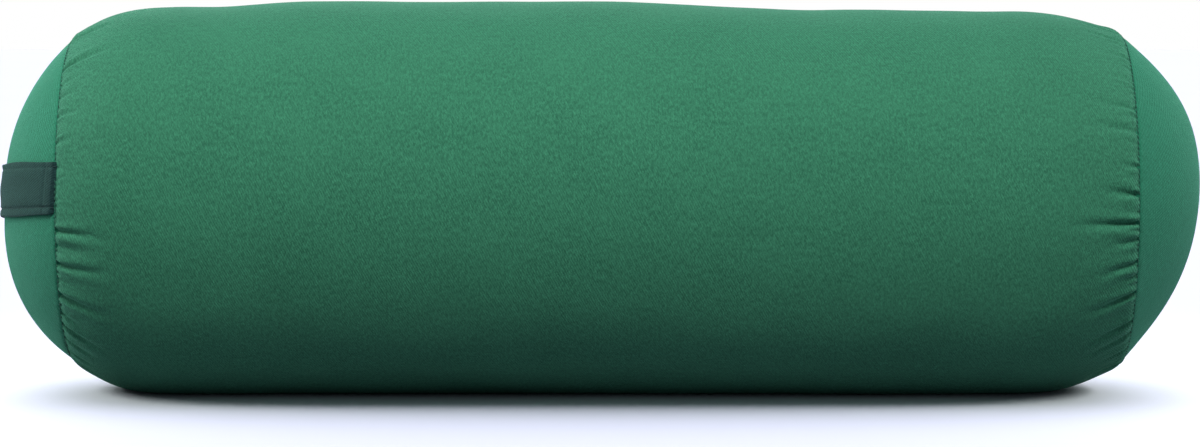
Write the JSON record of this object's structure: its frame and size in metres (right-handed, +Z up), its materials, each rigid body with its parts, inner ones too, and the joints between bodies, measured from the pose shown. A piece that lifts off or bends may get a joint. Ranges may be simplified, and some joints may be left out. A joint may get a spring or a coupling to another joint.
{
  "type": "round bolster pillow",
  "caption": "Round bolster pillow with a zipped fabric cover gathered onto crowned end panels and a flat carry strap across one end.",
  "frame": {"origin": "middle of the box round the bolster, on the surface that it lies on", "axes": "+X along the bolster, away from the end with the carry strap; +Z up; +Y towards the back seam with the zip"},
  "size_m": [0.6911, 0.2284, 0.2244],
  "materials": {
    "cover_cloth": "green brushed cotton twill",
    "strap_cloth": "dark slate green twill, topstitched",
    "thread": "dark green sewing thread",
    "zip_tape": "woven polyester tape",
    "zip_coil": "nylon coil",
    "zip_metal": "gunmetal plated zinc",
    "liner_cloth": "unbleached cotton",
    "wadding": "polyester fibre wadding",
    "foam": "open-cell polyurethane foam"
  },
  "bodies": {
    "bolster": {"cover_body_panel": "cover_cloth", "cover_end_panel_left": "cover_cloth", "cover_end_panel_right": "cover_cloth", "handle_strap": "strap_cloth", "handle_stitching_front": "thread", "handle_stitching_rear": "thread", "seam_thread_left": "thread", "seam_thread_right": "thread", "zip_tape_upper": "zip_tape", "zip_tape_lower": "zip_tape", "zip_coil_upper": "zip_coil", "zip_coil_lower": "zip_coil", "zip_top_stop_upper": "zip_metal", "zip_top_stop_lower": "zip_metal", "zip_bottom_stop": "zip_metal", "liner_body": "liner_cloth", "liner_end_left": "liner_cloth", "liner_end_right": "liner_cloth", "batting_wrap": "wadding", "fibre_end_pad_left": "wadding", "fibre_end_pad_right": "wadding", "foam_core": "foam"},
    "slider": {"zip_slider": "zip_metal"},
    "pull": {"zip_pull_tab": "zip_metal"}
  },
  "joints": [
    {"name": "zip_slide", "type": "slide", "parent": "bolster", "child": "slider", "axis": [-1, 0, 0], "range_m": [0, 0.412]},
    {"name": "pull_hinge", "type": "hinge", "parent": "slider", "child": "pull", "pos_m": [0.20715, 0.10089, 0.16845], "axis": [0, 0.5, -0.866], "range_deg": [0, 180]}
  ]
}
